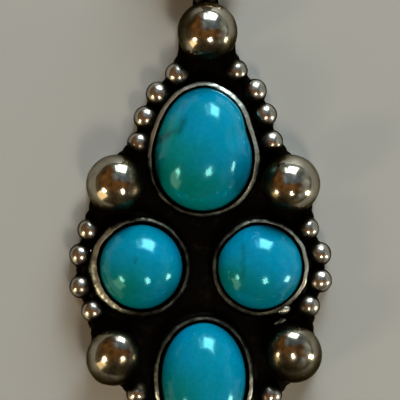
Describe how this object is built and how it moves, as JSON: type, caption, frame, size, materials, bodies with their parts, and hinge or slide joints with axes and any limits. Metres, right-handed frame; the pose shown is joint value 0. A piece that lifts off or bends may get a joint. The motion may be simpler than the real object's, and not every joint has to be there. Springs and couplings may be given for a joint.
{
  "type": "turquoise pendant",
  "caption": "Cluster pendant of soldered silver: domed turquoise cabochons in plain bezels on a cut back plate, edged with large and small shot balls, with an eye and a strip bail.",
  "frame": {"origin": "middle of the cluster, on the flat back face", "axes": "+X across the pendant, +Y up it to the bail, +Z out of its front"},
  "size_m": [0.0189, 0.0512, 0.0057],
  "materials": {
    "oxidised_silver": "sterling silver, blackened in the recesses and polished on the high spots",
    "bright_silver": "sterling silver, lightly polished",
    "turquoise": "polished turquoise with faint dark matrix"
  },
  "bodies": {
    "root": {"silver_setting": "oxidised_silver", "stone_top": "turquoise", "stone_left": "turquoise", "stone_right": "turquoise", "stone_bottom": "turquoise", "bail": "bright_silver"}
  },
  "joints": []
}
